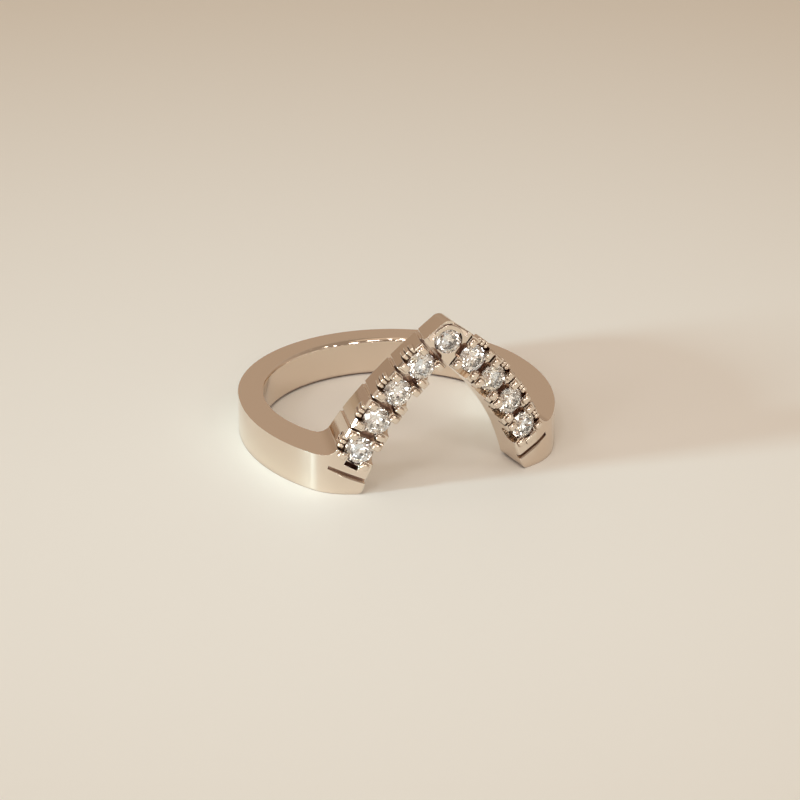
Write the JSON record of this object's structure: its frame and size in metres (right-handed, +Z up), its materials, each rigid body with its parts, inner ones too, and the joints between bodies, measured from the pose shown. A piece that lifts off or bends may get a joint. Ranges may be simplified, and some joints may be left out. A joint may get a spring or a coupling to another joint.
{
  "type": "chevron ring",
  "caption": "Finger ring with a plain flat-sided shank and a pointed, curved chevron front set with round brilliant stones between split prongs, lying on its side.",
  "frame": {"origin": "middle of the ring's plan on the floor it lies on", "axes": "+Z up along the finger axis, the chevron's peak up; the chevron faces -Y; +X is to the right seen from the front"},
  "size_m": [0.0206, 0.0208, 0.0116],
  "materials": {
    "white_gold": "polished warm white gold",
    "stone": "faceted colourless brilliant"
  },
  "bodies": {
    "root": {"ring_body": "white_gold", "stone_apex": "stone", "stone_right_1": "stone", "stone_right_2": "stone", "stone_right_3": "stone", "stone_right_4": "stone", "stone_left_1": "stone", "stone_left_2": "stone", "stone_left_3": "stone", "stone_left_4": "stone"}
  },
  "joints": []
}
